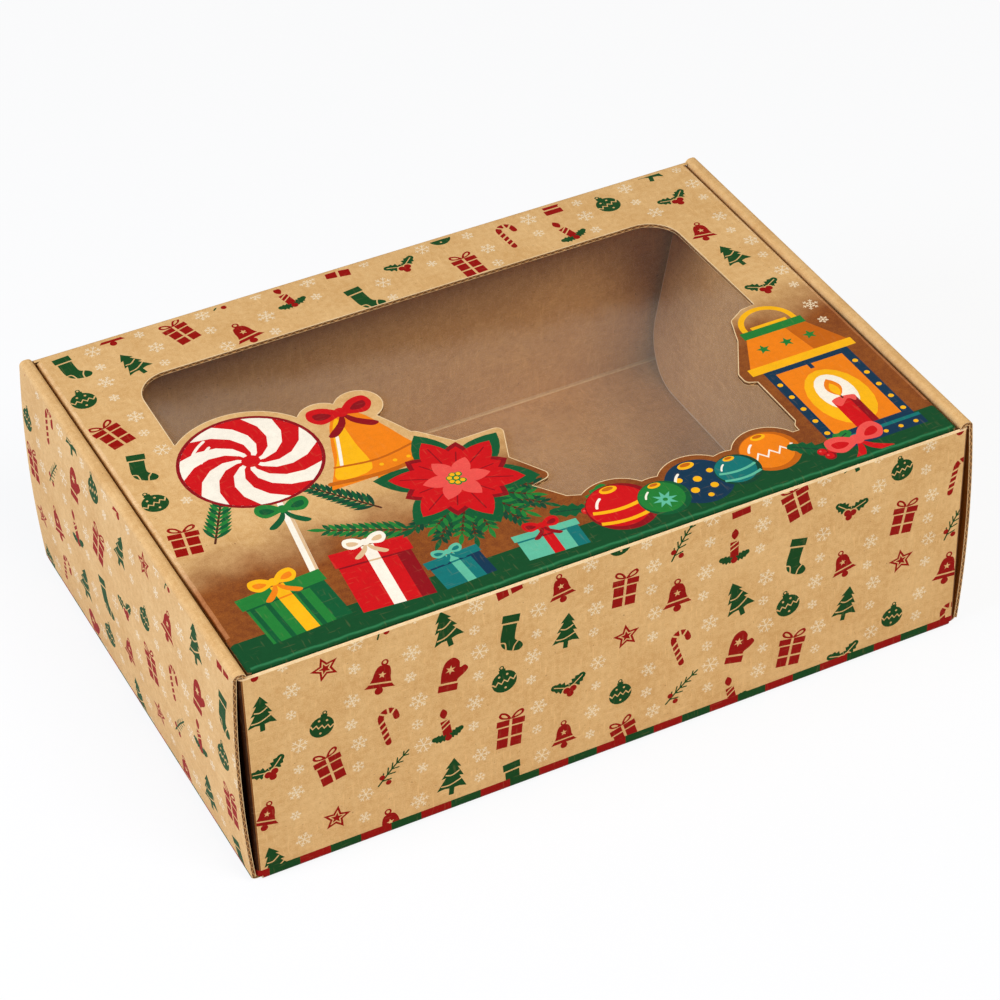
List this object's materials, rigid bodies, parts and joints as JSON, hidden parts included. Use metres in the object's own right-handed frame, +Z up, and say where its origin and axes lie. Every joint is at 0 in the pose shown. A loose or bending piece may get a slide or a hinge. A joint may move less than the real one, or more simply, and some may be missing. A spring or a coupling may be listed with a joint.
{
  "type": "sweet box",
  "caption": "Folded kraft board box for sweets: lid hinged at the back with a clear film window, tuck flap and side dust flaps, over rolled double side walls.",
  "frame": {"origin": "middle of the floor's underside, on the surface the box stands on", "axes": "+X across the box, the front wall with the tuck flap faces -Y, the lid hinge is at +Y, +Z up"},
  "size_m": [0.308, 0.212, 0.1],
  "materials": {
    "printed_board": "printed kraft, matt",
    "kraft_board": "plain kraft, matt",
    "clear_film": "clear gloss film",
    "film_glue": "dried glue"
  },
  "bodies": {
    "base": {"floor_panel": "kraft_board", "front_wall": "printed_board", "back_wall": "printed_board", "front_right_corner_flap": "kraft_board", "front_left_corner_flap": "kraft_board", "back_right_corner_flap": "kraft_board", "back_left_corner_flap": "kraft_board", "right_outer_wall": "printed_board", "left_outer_wall": "printed_board", "right_roll_top": "kraft_board", "left_roll_top": "kraft_board", "right_inner_wall": "kraft_board", "left_inner_wall": "kraft_board", "lid_hinge_crease": "kraft_board"},
    "lid": {"lid_panel": "printed_board", "window_film": "clear_film", "window_glue": "film_glue", "tuck_flap_crease": "kraft_board", "right_ear_crease": "kraft_board", "left_ear_crease": "kraft_board"},
    "tuck_flap_body": {"tuck_flap": "kraft_board"},
    "right_ear_body": {"right_ear": "kraft_board"},
    "left_ear_body": {"left_ear": "kraft_board"}
  },
  "joints": [
    {"name": "lid_hinge", "type": "hinge", "parent": "base", "child": "lid", "pos_m": [0, 0.1044, 0.0974], "axis": [-1, 0, 0], "range_deg": [0, 175], "deforming": ["lid_hinge_crease"]},
    {"name": "tuck_flap_fold", "type": "hinge", "parent": "lid", "child": "tuck_flap_body", "pos_m": [0, -0.1024, 0.0974], "axis": [1, 0, 0], "range_deg": [0, 30], "deforming": ["tuck_flap_crease"]},
    {"name": "right_ear_fold", "type": "hinge", "parent": "lid", "child": "right_ear_body", "pos_m": [0.144, 0, 0.0974], "axis": [0, 1, 0], "range_deg": [0, 60], "deforming": ["right_ear_crease"]},
    {"name": "left_ear_fold", "type": "hinge", "parent": "lid", "child": "left_ear_body", "pos_m": [-0.144, 0, 0.0974], "axis": [0, -1, 0], "range_deg": [0, 60], "deforming": ["left_ear_crease"]}
  ]
}
